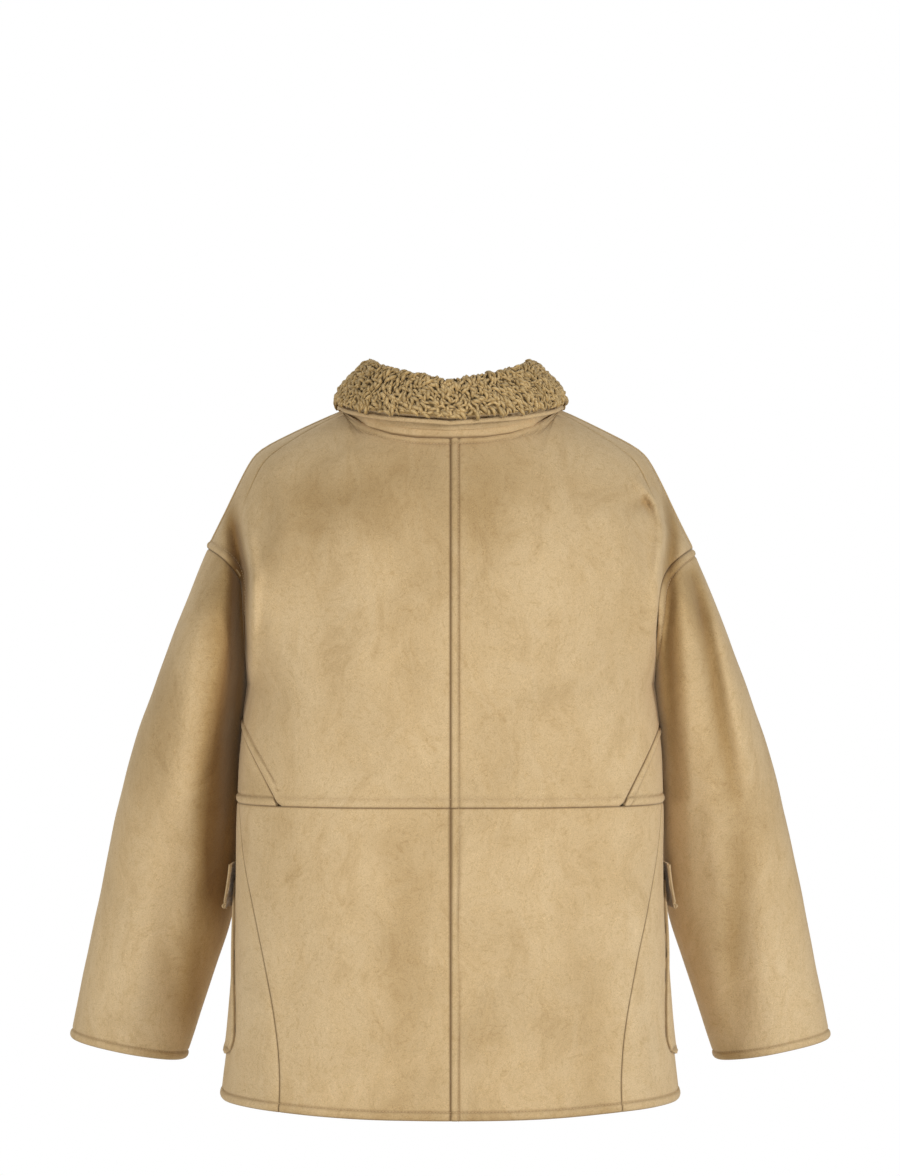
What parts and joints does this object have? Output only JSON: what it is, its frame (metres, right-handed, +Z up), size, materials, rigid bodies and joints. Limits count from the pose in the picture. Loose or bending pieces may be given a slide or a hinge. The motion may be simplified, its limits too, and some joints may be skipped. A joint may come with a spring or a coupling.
{
  "type": "faux shearling jacket",
  "caption": "Hip-length faux shearling jacket with a curly fleece collar, patch pockets, straight sleeves and a button front, filled out as worn.",
  "frame": {"origin": "centre of the neck opening, at the height of the tops of the shoulder seams", "axes": "+Z up along the wearer's body, -Y out of the chest, +Y out of the back, +X to the wearer's left"},
  "size_m": [0.8142, 0.3118, 0.7731],
  "materials": {
    "suede": "soft napped faux suede, tan",
    "fleece": "curly pile, tan brown",
    "horn": "dark horn look"
  },
  "bodies": {
    "root": {"back_upper_left": "suede", "back_upper_right": "suede", "front_upper_left": "suede", "front_upper_right": "suede", "side_gusset_left": "suede", "side_gusset_right": "suede", "back_skirt_left": "suede", "back_skirt_right": "suede", "front_skirt_left": "suede", "front_skirt_right": "suede", "sleeve_left": "suede", "sleeve_right": "suede", "pocket_left": "suede", "pocket_right": "suede", "pocket_flap_left": "suede", "pocket_flap_right": "suede", "collar_stand": "suede", "collar_fall": "fleece", "collar_binding": "suede", "button_1": "horn", "button_2": "horn", "button_3": "horn", "button_4": "horn", "button_5": "horn"}
  },
  "joints": []
}
